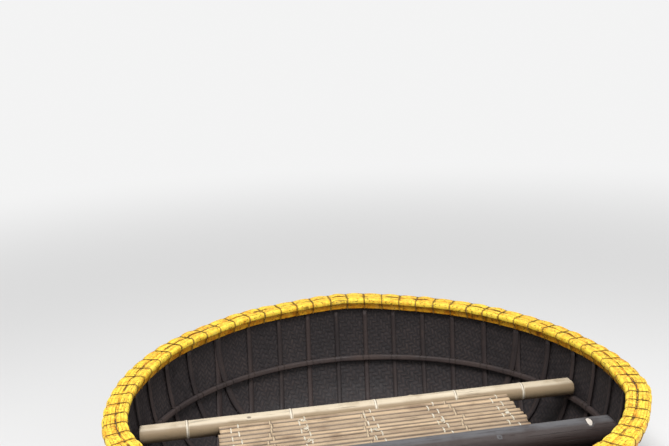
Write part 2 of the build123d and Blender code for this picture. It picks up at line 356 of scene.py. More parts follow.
# The resin that closes the gaps between the strips is a thin shell in the middle of the mat: its
# outer face from the middle of the bottom up to the edge, then its inner face back down.
film_rings, film_half, film_start = 56, 0.001, 0.015
turn = full_turn(192)
share = np.concatenate([
    np.linspace(film_start, 1, film_rings), np.linspace(1, film_start, film_rings)])[:, None]
inset = np.repeat([mat_middle - film_half, mat_middle + film_half], film_rings)[:, None]
film = on_bowl(share * (mat_end(turn) - film_half), turn + 0 * share, inset)
piece("mat_resin", [skin(film, columns(share, turn, 0.0))], "tarred_weave", mat_finish, "hull_mat")

# The laths: split bamboo, 22 mm wide and 5 mm thick, laid on the mat in two crossing sets and
# bent up the wall to the rim's cord. The upper set lies across the lower one.
lath_width, lath_thickness, lath_pitch = 0.022, 0.005, 0.14
lath_steps = np.arange(-5, 6)
lath_inset = {"laths_lengthways": 0.0094, "laths_crossways": 0.0148}
lath_below_rim = 0.0618
lath_uneven, lath_stray = 0.05, 0.002  # share of its width, and metres to each side
# half widths across, and share of the thickness, round the section
lath_section = np.array([
    (-0.93, 0), (-0.3, 0.06), (0.3, 0.06), (0.93, 0), (1, 0.28), (0.82, 0.66), (0.4, 0.96),
    (0, 1.02), (-0.4, 0.96), (-0.82, 0.66), (-1, 0.28)])
lath_finish = tarred("tarred lath", (36, 29, 30), (58, 46, 44), (86, 70, 63))


def wander(where, chance, longest, count=5):
    """A smooth wavering line between about -1 and 1: waves of random phase, each shorter than
    the last, added up."""
    return sum(
        np.sin(where * 2 * np.pi * (k + 1) / longest + chance.uniform(0, 7)) / (k + 1.5)
        for k in range(count)) / 1.6


def lath(place, crosswise, inset, chance, number):
    """A lath in the plane at this place, lighter on its back with wear and a painted highlight,
    and darker at its edges with painted shade. Its height follows the bowl: for each point of the
    section, the length along the bowl's section grows as a root of a sum of squares from where the
    bowl reaches the plane to the rim, and the other coordinate is the root of the radius squared
    less the place squared."""
    share = np.linspace(-1, 1, 101)[:, None]
    width = lath_width / 2 * (1 + lath_uneven * wander(share, chance, 0.9))
    across = place + width * lath_section[:, 0] + lath_stray * wander(share, chance, 1.6)
    depth = inset + lath_thickness * lath_section[:, 1]
    radii = section_radius[None] - depth[:, None] * np.sin(section_slope)
    rising = section_length <= upright_length
    start = np.stack([
        np.interp(np.abs(across[:, k]), radii[k, rising], section_length[rising])
        for k in range(len(depth))], 1)
    wall = wall_radius - depth
    angle = bearing(np.sign(share) * np.sqrt(wall**2 - across**2), across, crosswise)
    end = upright_length + rim_top(wall, angle) - lath_below_rim - upright_from
    length = np.sqrt(start**2 + (end**2 - start**2) * share**2)
    radius, height = on_section(length, depth)
    along = np.sign(share) * np.sqrt(np.maximum(radius**2 - across**2, 0))
    grain = columns(length * np.sign(share), width * lath_section[:, 0], number)
    points = bent(columns(*laid(along, across, crosswise), height))
    # The back is lightened with wear and a painted highlight, and the edges stay dark as painted
    # shade.
    return skin(points, grain, 1.5 * lath_section[:, 1] - 0.9)


chance = np.random.default_rng(11)
for name, inset in lath_inset.items():
    crosswise = name == "laths_crossways"
    piece(name + "_split", [
        lath(lath_pitch * step, crosswise, inset, chance, 20.3 + step + 30 * crosswise)
        for step in lath_steps], "tarred_lath", lath_finish, name)

# The hoop half way up the wall: two splits of bamboo, one inside the other, bent round inside
# the laths and tied through the mat on both sides of every lath.
hoop_bed, hoop_top, hoop_height, hoop_thickness = 0.0202, 0.395, 0.024, 0.014
hoop_stray, hoop_clear = 0.0007, 0.0006
split_share = 0.96  # of half the hoop's thickness, so that the splits don't touch
# share of the height down from the top, and of one split's thickness
hoop_section = np.array([
    (0.03, 0.1), (0, 0.5), (0.06, 0.9), (0.3, 1), (0.7, 1), (0.94, 0.9), (1, 0.5), (0.97, 0.1)])


def wall_inside(height, inset):
    """Radius of the wall at a height, this far inside its outer face. The face's own height is
    lower by the inset times the slope's cosine, so the slope is found again four times."""
    slope = np.pi / 2
    for _ in range(4):
        slope = np.interp(height - inset * np.cos(slope), section_height, section_slope)
    length = np.interp(height - inset * np.cos(slope), section_height, section_length)
    return np.interp(length, section_length, section_radius) - inset * np.sin(slope)


chance = np.random.default_rng(5)
turn = full_turn(360)[:, None]
splits = []
for layer in range(2):
    high = (hoop_top - hoop_height * hoop_section[:, 0]
            + hoop_stray * wander(turn, chance, 1.3) - hoop_clear)
    inset = hoop_bed + hoop_thickness / 2 * (layer + split_share * hoop_section[:, 1])
    grain = columns(turn, hoop_section[:, 0] * 0.02, 61.7 + layer)
    rings = on_circle(wall_inside(high, inset), turn, high)
    splits.append(skin(rings, grain, hoop_section[:, 1] * 0.7, joined=True))
piece("middle_hoop_splits", splits, "tarred_lath", lath_finish, "middle_hoop")

# Its ties: two loops of dark cord beside each lath that crosses the hoop, round the hoop and
# through the mat.
tie_thickness, tie_beside = 0.0024, 0.0145
tie_over, tie_spread = 0.0016, 0.0006  # over the hoop, and so much more at the wall
tie_insets = np.array([0.0065, 0.0355])
tie_finish = tarred("tarred cord", (34, 28, 26), (70, 58, 50), (110, 92, 76))


def cord(path, thickness, lean, number, joined=True, sides=6, wear_and_shade=0.0):
    """A round cord along a path: rings at right angles to the path's direction, with one axis
    square to the lean, which is a direction that the path never takes."""
    way = np.roll(path, -1, 0) - np.roll(path, 1, 0) if joined else np.gradient(path, axis=0)
    way /= np.linalg.norm(way, axis=1, keepdims=True)
    side = np.cross(way, lean)
    side /= np.linalg.norm(side, axis=1, keepdims=True)
    other = np.cross(side, way)
    around = full_turn(sides)
    rings = path[:, None] + thickness / 2 * (
        np.cos(around)[:, None] * side[:, None] + np.sin(around)[:, None] * other[:, None])
    run = np.linalg.norm(path - np.roll(path, 1, 0), axis=1)
    run[0] = 0
    grain = columns(np.cumsum(run)[:, None], around * thickness / 2, number)
    return skin(rings, grain, wear_and_shade, joined)


def even_steps(corners, count, closed=False):
    """A line through corners, cut into even steps of its length."""
    run = np.concatenate([[0], np.cumsum(np.linalg.norm(np.diff(corners, axis=0), axis=1))])
    at = np.linspace(0, run[-1], count, endpoint=not closed)
    return np.stack([np.interp(at, run, corners[:, k]) for k in range(corners.shape[1])], -1)


def rounded(corners, count):
    """A closed line through corners, in even steps, each step's point then moved to the mean of
    its neighbours and itself, which rounds the corners."""
    path = even_steps(np.vstack([corners, corners[:1]]), count, closed=True)
    return (np.roll(path, 1, 0) + 2 * path + np.roll(path, -1, 0)) / 4


def along_rim(angle):
    """The level direction along the rim and the hoop, at an angle about the upright axis."""
    return np.array([-np.sin(angle), np.cos(angle), 0])


ties = []
hoop_middle, hoop_bottom = hoop_top - hoop_height / 2, hoop_top - hoop_height
for crosswise, place, side, beside in product(
        (False, True), lath_pitch * lath_steps, (-1, 1), (-tie_beside, tie_beside)):
    across = place + beside
    reach = side * np.sqrt((wall_radius - 0.04)**2 - across**2)
    angle = bearing(reach, across, crosswise)
    outer, inner = wall_inside(hoop_middle, tie_insets)
    loop = rounded(np.array([
        (outer, hoop_top + tie_over + tie_spread), (inner, hoop_top + tie_over),
        (inner, hoop_bottom - tie_over), (outer, hoop_bottom - tie_over - tie_spread)]), 22)
    loop[:, 1] += chance.uniform(-0.0006, 0.0006)
    slant = (loop[:, 1:] - hoop_middle) * chance.uniform(-0.15, 0.15) * along_rim(angle)
    ties.append(cord(on_circle(loop[:, 0], angle, loop[:, 1]) + slant, tie_thickness,
                     along_rim(angle), number=chance.uniform(0, 99), sides=5))
piece("middle_hoop_ties", ties, "tarred_lath", tie_finish)

# The rim: four hoops, each a bundle of bamboo splits laid one inside the other. A wide cap over a
# narrower clamp holds the mat from each side. All is painted yellow and worn off along the edges.
# Dirt and painted shade darken it beside the cord, painted shade darkens the splits' upright
# faces, and more painted shade darkens the seam of the caps where it is open and the outer one
# proud.
rim_hoops = {  # inner and outer radius, top and bottom below the rim's top, splits
    "outer_cap_hoop": (1.0019, 1.05, 0, 0.027, 4),
    "inner_cap_hoop": (0.953, 0.9921, 0, 0.027, 3),
    "outer_clamp_hoop": (1.0019, 1.038, 0.0274, 0.058, 3),
    "inner_clamp_hoop": (0.9705, 0.9921, 0.0274, 0.058, 2),
}
groove_radius = 0.997  # the middle of the groove, from which the rim's width varies
rim_swell, rim_stray = 0.06, 0.0022  # share of the width, and metres up and down
high_spot = (96, 13)  # a bend upwards, its place and width in degrees
high_rise = 0.012
split_gap, split_curve = 0.0005, 0.0012  # between splits, and the rounding of their edges
cap_curve, clamp_curve = 0.013, 0.003  # the rounding of the outermost splits
top_pinch, side_pinch, side_bulge = 0.003, 0.0042, 0.0008  # by the cord, and between cords
cap_proud = 0.003  # rise of the outer cap where the seam is open
joint_count, joint_rise = 17, 0.0009  # bamboo joints on a split
scarf_length, scarf_step = 0.16, 0.0018  # radians and metres, where a split's ends overlap
shown_width = 0.014  # of the outermost splits' worn edges
seam_inner, seam_outer = 0.991, 1.003
cord_count, cord_pitch, crease_width = 72, 0.0916, 0.0065  # dirt and painted shade are widest beside the cord
chance = np.random.default_rng(3)
cord_turn = 2 * np.pi * np.arange(cord_count) / cord_count + chance.uniform(
    -0.002, 0.002, cord_count)
# places from a cord, as shares of the way to the next
between = np.array([-0.36, -0.22, -0.12, -0.06, -0.028, 0, 0.028, 0.06, 0.12, 0.22, 0.36, 0.5])
rim_turn = (cord_turn[:, None] + between * 2 * np.pi / cord_count).reshape(-1, 1)
# The crease beside each cord is darkened with dirt and painted shade, by each cord's own amount.
crease_dirt_and_shade = np.tile(np.exp(-(between * cord_pitch / crease_width)**2), cord_count)[:, None]
pinch = np.tile((1 - 2 * np.abs(between))**2.2, cord_count)[:, None]
crease_darkness = np.repeat(chance.uniform(0.35, 0.95, cord_count), len(between))[:, None]
waver_phase = chance.uniform(0, 2 * np.pi, (2, 10))
seam = np.clip(1.8 * wander(rim_turn, np.random.default_rng(5), 0.4) + 0.15, 0, 1)


def rim_waver(angle, kind):
    """How the rim strays from a true round: ten waves, 4 to 13 times round it, added up."""
    return sum(
        np.sin((k + 4) * angle + phase) for k, phase in enumerate(waver_phase[kind])) / 4


def on_rim(radius, below, angle):
    """A point of the rim at a radius and a distance below its top. Its width swells and shrinks
    from the mat outwards and inwards, its height strays a little, and it has the rim's bends."""
    swelling = 1 + rim_swell * rim_waver(angle, 0)
    radius = groove_radius + (radius - groove_radius) * swelling + bent_out(angle)
    height = rim_top(radius, angle) - below + rim_stray * rim_waver(angle, 1)
    return on_circle(radius, angle, height + high_rise * bump(angle, *high_spot))


def painted(name, deep, bright, bare, dirt_and_shade):
    """Paint on split bamboo: brighter and deeper patches, fine cracks along the strip, small
    dark pits, dirt and painted shade where wear_and_shade is above 0, and bare bamboo where it is
    below 0, which low down on the cord is a painted highlight."""
    finish = Finish(name)
    fibre = finish.noise(finish.grain, (5, 420, 30), detail=4, roughness=0.6)
    crack = finish.noise(finish.grain, (11, 150, 50), detail=3, roughness=0.7)
    cloud = finish.noise(finish.place, (16, 16, 16), detail=4, roughness=0.6)
    blotch = finish.noise(finish.place, (62, 62, 62), detail=3, roughness=0.6)
    pit = finish.noise(finish.place, (110, 110, 110), detail=2, roughness=0.5)
    streak = finish.noise(finish.grain, (16, 105, 40), detail=3, roughness=0.6)
    tone = finish.own() * 0.15 + cloud * 0.4 + blotch * 0.55 + streak * 0.55
    base = finish.mix(finish.rise(tone, 0.62, 1.0), deep, bright)
    # Bare bamboo where the paint is worn off, and low down on the cord a painted highlight.
    worn_and_lit = finish.rise(fibre * 0.5 + cloud * 0.5 - finish.wear_and_shade * 0.22, 0.6, 0.75)
    base = finish.mix(worn_and_lit * 0.55, base, bare)
    split = 1 - finish.rise(crack, 0.33, 0.42)
    spots = finish.rise(pit, 0.59, 0.66)
    # Dirt, and painted shade beside the cord, on the splits' upright faces and in the open seam.
    grime_and_shade = finish.rise(finish.wear_and_shade + cloud * 0.5 - 0.25, 0.12, 0.85)
    dark = finish.node("Math", {"operation": "MAXIMUM"}, {0: split * 0.75, 1: spots * 0.7})
    base = finish.mix(dark, base, dirt_and_shade)
    base = finish.mix(grime_and_shade * 0.88, base, dirt_and_shade)
    rough = grime_and_shade * 0.2 + cloud * 0.2 + 0.45
    finish.feed(finish.shader, "Specular IOR Level", 0.3)
    return finish.wears(
        base, rough, fibre * 0.2 + blotch * 0.7 + cloud * 0.5 - dark * 0.6 - grime_and_shade * 0.3, 0.0013)


cap_paint = painted(
    "yellow paint", (214, 136, 18), (252, 220, 73), (230, 190, 104), (96, 64, 22))
# The clamps carry the caps' paint darker and oranger, as painted shade under the caps.
clamp_paint_shaded = painted(
    "yellow paint with painted shade low down", (204, 124, 16), (244, 186, 46), (222, 172, 84), (90, 58, 20))


def split_rings(inner, outer, top, bottom, curves):
    """A split's section at each place, a box with a quarter circle at each corner: its radii,
    its distances below the rim's top, and how upright its face is, from 0 on top to 1."""
    radius, below, upright = [], [], []
    corners = (
        (inner, 1, top, 1, False), (outer, -1, top, 1, True),
        (outer, -1, bottom, -1, False), (inner, 1, bottom, -1, True))
    for (side, inwards, level, down, back), curve in zip(corners, curves):
        quarter = np.linspace(0, np.pi / 2, 7 if curve > 0.005 else 3)[None]
        quarter = quarter[:, ::-1] if back else quarter
        radius.append(side + inwards * curve * (1 - np.cos(quarter)) + 0 * rim_turn)
        below.append(level + down * curve * (1 - np.sin(quarter)) + 0 * rim_turn)
        upright.append(np.cos(quarter))
    return np.hstack(radius), np.hstack(below), np.hstack(upright)


for number, (name, (inner, outer, top, bottom, count)) in enumerate(rim_hoops.items()):
    outside, cap = inner > groove_radius, top == 0
    edges = np.concatenate([[0], np.cumsum(chance.uniform(0.8, 1.2, count))])
    edges = inner + (outer - inner) * edges / edges[-1]
    splits = []
    for k in range(count):
        first = k == 0 and not outside
        last = k == count - 1 and outside
        # how far the split lies below the rim's top
        dip = 0.0005 + 0.0007 * wander(rim_turn, chance, 1.1) + top_pinch * pinch
        joints = chance.integers(1, 11, joint_count) + len(between) * np.round(
            np.linspace(0, cord_count - 1, joint_count, endpoint=False)
            + chance.uniform(0, 4, joint_count)).astype(int)
        dip[joints % len(rim_turn)] -= joint_rise
        dip -= cap_proud * seam * (1 - pinch) * outside
        taper = np.mod(rim_turn + chance.uniform(0, 7), np.pi) / scarf_length
        dip += scarf_step * np.where(taper < 1, 1 - taper, 0)
        curve = min(cap_curve, 0.9 * (edges[k + 1] - edges[k])) if cap else clamp_curve
        curves = [curve if first else split_curve, curve if last else split_curve,
                  0.004 if last else 0.001, 0.004 if first else 0.001]
        bulge = side_bulge - side_pinch * pinch
        radius, below, upright = split_rings(
            edges[k] + split_gap / 2 - (bulge if first else 0),
            edges[k + 1] - split_gap / 2 + (bulge if last else 0),
            top + dip if cap else top, bottom - 0.0004, curves)
        shown = (first & (radius < edges[k] + shown_width)) | (
            last & (radius > edges[k + 1] - shown_width))
        beside = (radius < seam_outer) & (radius > seam_inner)
        # Dirt and painted shade beside the cord, painted shade on upright faces and more in the
        # open seam, and bare worn edges on the outermost splits.
        wear_and_shade = crease_dirt_and_shade * crease_darkness * (1 if cap else 0.45) + np.where(
            shown, -0.35 * (1 - crease_dirt_and_shade), (0.26 + 1.1 * beside * seam) * upright)
        grain = columns(rim_turn, radius, 3.3 * (5 * number + k))
        splits.append(skin(on_rim(radius, below, rim_turn), grain, wear_and_shade, joined=True))
    piece(name + "_splits", splits, "painted_bamboo", cap_paint if cap else clamp_paint_shaded, name)

# The mat's own edge, in the groove between the caps: the cut ends of its strips are levelled with
# resin and painted over with the rim.
edge_dip = 0.0022 + 0.0008 * wander(rim_turn, chance, 1.7) + top_pinch * pinch
edge_radius = np.array([0.9926, 0.9924, 0.9945, 0.997, 0.9995, 1.0016, 1.0014, 0.997])
edge_below = np.array([0.02, 0, 0, -0.0006, 0, 0, 0.02, 0.02]) + edge_dip
# Dirt and painted shade beside the cord, and painted shade in dark stretches of the groove.
dirt_and_shade = 0.12 + 0.6 * crease_dirt_and_shade * crease_darkness + np.clip(1.8 * wander(rim_turn, chance, 0.55) - 0.25, 0, 0.9)
rings, grain = on_rim(edge_radius, edge_below, rim_turn), columns(rim_turn, edge_radius, 88.8)
piece("mat_edge", [skin(rings, grain, dirt_and_shade, joined=True)], "painted_bamboo", cap_paint, "hull_mat")

# The cord round the rim: at each place two turns side by side, over the caps, down both sides,
# and through the mat under the clamps. It is painted with the rim, but darker, for dirt and
# painted shade: darkest on top with both, and lighter low down inside with a painted highlight.
cord_thickness, cord_beside = 0.0028, 0.0014
bend_radius, bend_below = 0.0147, 0.0165
outer_bend, inner_bend = 1.0334, 0.9694
# The cord's paint is darker than the rim's, with dirt and painted shade.
cord_paint_and_shade = painted("paint on cord with painted shade", (132, 96, 28), (184, 142, 48), (140, 116, 70), (74, 54, 22))
quarter = np.linspace(0, np.pi / 2, 6)
sine, cosine = bend_radius * np.sin(quarter), bend_radius * np.cos(quarter)
# radius and distance below the rim's top
loop = rounded(np.vstack([
    [(1.0366, 0.0594), (1.0478, 0.0275)],
    np.stack([outer_bend + cosine, bend_below - sine], -1),
    np.stack([inner_bend - sine, bend_below - cosine], -1),
    [(0.9546, 0.0275), (0.9652, 0.036), (0.9695, 0.0594)]]), 60)
# A painted highlight lightens the cord low down inside.
lit_low_inside = np.maximum((0.965 - loop[:, :1]) / 0.01, (loop[:, 1:] - 0.018) / 0.008)
lit_low_inside = np.clip(lit_low_inside, 0, 1) * (loop[:, :1] < 0.98)
turns = []
for angle, side in product(cord_turn, (-cord_beside, cord_beside)):
    stray = wander(np.linspace(0, 1, len(loop), endpoint=False), chance, 1)
    sway = angle + side + 0.05 * (loop[:, 0] - groove_radius) + 0.0005 * stray
    turns.append(cord(on_rim(loop[:, 0], loop[:, 1], sway), cord_thickness, along_rim(angle),
                      number=chance.uniform(0, 99),
                      wear_and_shade=0.45 - lit_low_inside * chance.uniform(0.5, 2.4)))
piece("rim_cord", turns, "painted_cord", cord_paint_and_shade, "rim_lashings")

# The two poles across the boat rest on the hoop. Their ends are sawn off at the wall and hewn
# round on top. The front one is a thick dark log, the back one a thinner pole of pale bamboo.
bench_turn = np.radians(10)
pole_even = 0.84  # half length of a pole's middle part
pole_inset = 0.0247  # of a pole's end from the hull's outer face


def on_bench(along, across, height):
    """A point given along the slats, across them to the back, and by its height."""
    return columns(
        along * np.cos(bench_turn) - across * np.sin(bench_turn),
        along * np.sin(bench_turn) + across * np.cos(bench_turn), height)


def weathered(name, light, grey, dark, joint_and_shade, ridge, depth=0.0012):
    """Bare bamboo or wood out in the sun: fibres along the piece, grey patches, darker stains
    and open cracks along it. Where wear_and_shade is up to 1 it has the dark joint_and_shade
    colour, which marks joints and paints the shade along a slat's low edges, where it is near 2
    the ridge's pale one, and where it is below 0 it turns brown with painted shade under a pole."""
    finish = Finish(name)
    fibre = finish.noise(finish.grain, (4, 520, 30), detail=5, roughness=0.65)
    band = finish.noise(finish.grain, (2.2, 60, 30), detail=4, roughness=0.6)
    cloud = finish.noise(finish.place, (9, 9, 14), detail=4, roughness=0.6)
    crack = finish.noise(finish.grain, (3.4, 230, 50), detail=3, roughness=0.7)
    speck = finish.noise(finish.place, (210, 210, 210), detail=2)
    tone = finish.own() * 0.45 + band * 0.85 - 0.1
    base = finish.mix(finish.rise(tone, 0.2, 0.8), light, grey)
    stain = finish.rise(cloud * 0.6 + fibre * 0.45 + band * 0.2, 0.58, 0.8)
    base = finish.mix(stain * 0.65, base, dark)
    # Painted shade: below 0 a pole's underside turns to the dark colour.
    base = finish.mix(finish.rise(0 - finish.wear_and_shade, 0.02, 0.75) * 0.9, base, dark)
    split = 1 - finish.rise(crack, 0.3, 0.38)
    base = finish.mix(split * 0.8, base, joint_and_shade)
    # Joint marks, and painted shade along a slat's low edges, in the joint_and_shade colour.
    ring = finish.rise(finish.wear_and_shade + speck * 0.3 - 0.15, 0.2, 0.9)
    base = finish.mix(ring * 0.75, base, joint_and_shade)
    base = finish.mix(finish.rise(finish.wear_and_shade, 1.4, 1.9) * 0.7, base, ridge)
    rough = fibre * 0.2 + stain * 0.15 + 0.42
    return finish.wears(base, rough, fibre * 0.6 + speck * 0.15 - split * 0.8, depth)


def joint_shape(along, places):
    """A bamboo joint: a low swelling 12 mm long, a groove beside its top, and how worn it is,
    which is pale on the top and dark in the groove."""
    swelling, groove, worn = 0, 0, 0
    for place in places:
        swelling = swelling + np.exp(-((along - place) / 0.006)**2)
        groove = groove + np.exp(-((along - place - 0.0065) / 0.0018)**2)
        worn = worn + 2.1 * np.clip((0.0052 - np.abs(along - place)) / 0.0026, 0, 1)
    return swelling, groove, worn + 0.7 * groove


def stations(low, high, step, places):
    """Places along a piece: even steps, with closer ones at each joint."""
    near = np.array([-0.012, -0.008, -0.005, -0.0025, 0, 0.0025, 0.0045, 0.0065, 0.009, 0.013])
    close = (np.array(places)[:, None] + near).ravel()
    even = np.arange(low, high + step / 2, step)
    even = even[np.abs(even[:, None] - close).min(1, initial=1) > 0.004]
    return np.sort(np.concatenate([even, close[(close > low) & (close < high)]]))


def thwart(place, radius, end_round, end_lean, joints, swell, number, knots, painted_shade_below):
    """A pole from wall to wall. Its middle is a stack of rings, and the rings near an end lean
    until they lie on the cut: each point goes as far as the wall lets it, which is the root of
    the wall's radius squared less its own place squared, but not past the square cut, from
    which the top falls back by a quarter circle of the end's rounding. Above the hoop that it
    rests on, the cut leans back by up to a lean of its own. The last rings close the cut. A
    knot is a low swelling, at a place along the pole and an angle round it, with a size along
    and round the pole, and a tone. Below a share of its radius the pole is darkened brown with
    painted shade, so that its top looks lit."""
    around = full_turn(48)[None]
    middle = stations(-pole_even, pole_even, 0.008, joints)[:, None]
    lean = np.array([0.3, 0.6, 0.85, 1, 1, 1, 1, 1, 1, 1, 1])[:, None]
    size = np.array([1, 1, 1, 1, 0.975, 0.92, 0.8, 0.65, 0.5, 0.3, 0.12])[:, None]
    square_cut = np.sqrt(wall_inside(hoop_top, pole_inset)**2 - place**2)
    top = hoop_top + 2 * radius

    def knotted(along):
        """How much the knots swell, a bell curve along the pole and round it, and their tone."""
        swelling, worn = 0, 0
        for knot, turned, long, wide, tone in knots:
            near = np.exp(-((along - knot) / long)**2 - ((around - turned) * radius / wide)**2)
            swelling, worn = swelling + near, worn + tone * np.clip(2.2 * near - 0.6, 0, 1)
        return swelling, worn

    def ring(along, scale):
        """Place across and height of a ring's points: an uneven circle, swollen at joints and
        knots, about a middle line that wavers a little."""
        swelling, groove, _ = joint_shape(along, joints)
        bend = 0.0015 * wander(along, np.random.default_rng(number), 1.9, 3)
        uneven = 1 + swell * wander(
            around / 3 + along * 2.2, np.random.default_rng(number + 1), 2 * np.pi / 3, 4)
        swelling = swelling + 2 * knotted(along)[0]
        reach = scale * (radius * uneven + 0.0016 * swelling - 0.0012 * groove)
        return (place + bend + reach * np.cos(around),
                hoop_top + radius + 0.4 * bend + reach * np.sin(around))

    ends = []
    for side in (-1, 1):
        across, height = ring(side * (pole_even + 0.06 * lean), size)
        hewn = np.clip(height - top + end_round, 0, end_round * 0.995)
        leaning = end_lean * np.sin(np.clip((height - hoop_top) / radius, 0, 1) * np.pi / 2)**2
        cut = np.minimum(np.sqrt(wall_inside(height, pole_inset)**2 - across**2),
                         square_cut - leaning - end_round + np.sqrt(end_round**2 - hewn**2))
        cut = cut - 0.003 * (size > 0.99) + 0.001 * wander(across * 9 + height * 5, chance, 1)
        ends.append((side * (pole_even + (cut - pole_even) * lean), across, height))
    left, right = ends
    across, height = ring(middle, 1)
    along, across, height = (
        np.vstack([first[::-1], even, last])
        for first, even, last in zip(left, (middle + 0 * across, across, height), right))
    # Painted shade under the pole: darkened below a share of its radius, so that the top looks
    # lit.
    painted_shade_under = np.clip((painted_shade_below - np.sin(around)) / (1.2 - painted_shade_below), 0, 1)
    worn = np.maximum(joint_shape(along, joints)[2], knotted(along)[1])
    worn = worn - painted_shade_under * (1 - np.clip(worn, 0, 1))
    grain = columns(along, around * radius, number)
    return skin(on_bench(along, across, height), grain, worn)


log_finish = weathered("dark log", (92, 92, 95), (72, 70, 72), (44, 29, 24), (28, 21, 18),
                       (244, 234, 222), depth=0.002)
pole_finish = weathered("pale pole", (240, 227, 205), (202, 188, 164), (142, 121, 92),
                        (70, 52, 38), (246, 236, 216))
front_log = thwart(
    place=-0.25, radius=0.057, end_round=0.042, end_lean=0.024, joints=[], swell=0.016,
    number=71, painted_shade_below=0.97, knots=[
        (0.789, 1.92, 0.0125, 0.023, 4.2), (-0.55, 1.3, 0.014, 0.01, 0.9),
        (0.42, 2.3, 0.012, 0.008, 0.9)])
back_pole = thwart(
    place=0.232, radius=0.0375, end_round=0.02, end_lean=0, swell=0.006, number=77,
    joints=[-0.74, -0.311, 0.05, 0.40, 0.70], painted_shade_below=0.85, knots=[
        (-0.486, 2.16, 0.012, 0.008, 1.0), (0.21, 1.2, 0.007, 0.005, 0.9)])
piece("front_log", [front_log], "dark_pole", log_finish, "front_thwart")
piece("back_pole", [back_pole], "pale_bamboo", pole_finish, "back_thwart")

# Five thin bamboo bearers under the slats, from pole to pole. Each has its two ends let into a
# hole in either pole, and grey bark with two joints.
bearer_places = 0.275 * np.arange(-2, 3)
bearer_height, bearer_radius, bearer_clear = 0.423, 0.013, 0.0002
bearer_front, bearer_back, bearer_free = -0.2245, 0.2193, 0.19
bearer_finish = weathered("bearer bamboo", (176, 152, 112), (128, 116, 100), (96, 76, 54),
                          (60, 46, 34), (200, 184, 150))
around = full_turn(20)[None]
for number, place in enumerate(bearer_places, start=1):
    joints = [chance.uniform(-0.18, -0.05), chance.uniform(0.05, 0.18)]
    across = stations(bearer_front, bearer_back, 0.02, joints)[:, None]
    swelling, groove, worn = joint_shape(across, joints)
    uneven = wander(across, chance, 0.4, 3) * (np.abs(across) < bearer_free)
    radius = bearer_radius - bearer_clear + 0.0005 * uneven + 0.0008 * (swelling - groove)
    height = bearer_height - 0.0006 + radius * np.sin(around)
    points = on_bench(place + radius * np.cos(around), across, height)
    grain = columns(across, around * bearer_radius, 81.3 + number)
    piece(f"bearer_{number}", [skin(points, grain, worn)], "bearer_bamboo", bearer_finish,
          f"bench_bearer_{number}")

# The seat: eleven bamboo splits side by side, bark side up. They come from the same few culms, so
# their joints nearly line up. Rain and sun have bleached them unevenly.
slat_shares = np.array([28, 39, 38, 33, 34, 28, 33, 36, 30, 33, 27])
slats_back, slats_front, slat_gap = 0.1945, -0.193, 0.003
slat_low, slat_length = 0.436, 1.24
slat_joints = np.array([-0.41, -0.03, 0.36])
slat_widths = slats_back - slats_front - (len(slat_shares) + 1) * slat_gap
slat_widths = slat_widths * slat_shares / slat_shares.sum()
slat_middles = slats_back - np.cumsum(slat_widths + slat_gap) + slat_widths / 2
# share of the width across, and height in millimetres over the bottom edge
slat_section = np.array([
    (-0.46, 0.2), (-0.5, 2.2), (-0.5, 6), (-0.46, 9), (-0.35, 12.3), (-0.18, 15), (0, 15.8),
    (0.18, 15), (0.35, 12.3), (0.46, 9), (0.5, 6), (0.5, 2.2), (0.46, 0.2), (0.25, 1.4),
    (0, 2), (-0.25, 1.4)])
bark_from = 5  # height above which joints swell
shaded_below, shaded_over = 15.5, 5.4  # height below which edges darken, and over how much
slat_finish = weathered("bleached bamboo", (212, 184, 148), (164, 142, 116), (104, 76, 52),
                        (56, 43, 34), (206, 184, 152))
chance = np.random.default_rng(21)
for number, (middle, width) in enumerate(zip(slat_middles, slat_widths), start=1):
    joints = slat_joints + chance.normal(0, 0.012, 3)
    low, high = (chance.uniform(-0.008, 0.004, 2) + slat_length / 2) * (-1, 1)
    along = stations(low, high, 0.014, joints)
    along = np.concatenate([[low, low + 0.001], along[1:-1], [high - 0.001, high]])[:, None]
    near_end = np.minimum(along - low, high - along) < 0.0005
    swelling, groove, worn = joint_shape(along, joints)
    wide = (width + 0.0006 * wander(along, chance, 0.8) - 0.0012) * np.where(near_end, 0.94, 1)
    thick = np.where(near_end, 0.9, 1) * (1 + 0.03 * wander(along, chance, 1.1))
    up = slat_section[:, 1] / 1000 * thick
    up = up + (0.0011 * swelling - 0.0013 * groove) * (slat_section[:, 1] > bark_from)
    lift = 0.0006 + 0.0007 * wander(along, chance, 1.5, 3)
    tip = chance.uniform(-0.02, 0.02) * slat_section[:, 0] * width
    points = on_bench(along, middle + slat_section[:, 0] * wide, slat_low + up + lift + tip)
    grain = columns(along, slat_section[:, 0] * width, 91.7 + 1.9 * number)
    shaded = np.clip((shaded_below - slat_section[:, 1]) / shaded_over, 0, 1)
    worn = np.maximum(worn, shaded * chance.uniform(0.8, 1.15))
    piece(f"slat_{number}", [skin(points, grain, worn)], "pale_bamboo", slat_finish,
          f"bench_slat_{number}")

# Pale cord ties the slats to each bearer: over a slat, down the gap beyond it, under the bearer
# and up again on its other side, so that the short lengths on top change sides.
twine_thickness, twine_beside, twine_clear = 0.0026, 0.0014, 0.0014
twine_aside = 0.0155  # from the bearer's middle, where it passes the bearer
side_height, edge_height, top_height, gap_height = 0.4475, 0.4505, 0.4532, 0.434
knot_height = 0.4547
twine = Finish("pale twine")
lay, turned = twine.part(twine.grain, "X"), twine.part(twine.grain, "Y")
strand = twine.node("Math", {"operation": "SINE"}, {0: lay * 2600 + turned * 1900})
dust = twine.noise(twine.place, (60, 60, 60))
twine_colour = twine.mix(twine.rise(strand * 0.2 + dust, 0.35, 0.75),
                         (206, 196, 172), (250, 245, 230))
twine_finish = twine.wears(twine_colour, dust * 0.2 + 0.5, strand * 0.5 + dust, 0.0004)
gaps = np.concatenate([[slats_back], slat_middles - slat_widths / 2 - slat_gap / 2])


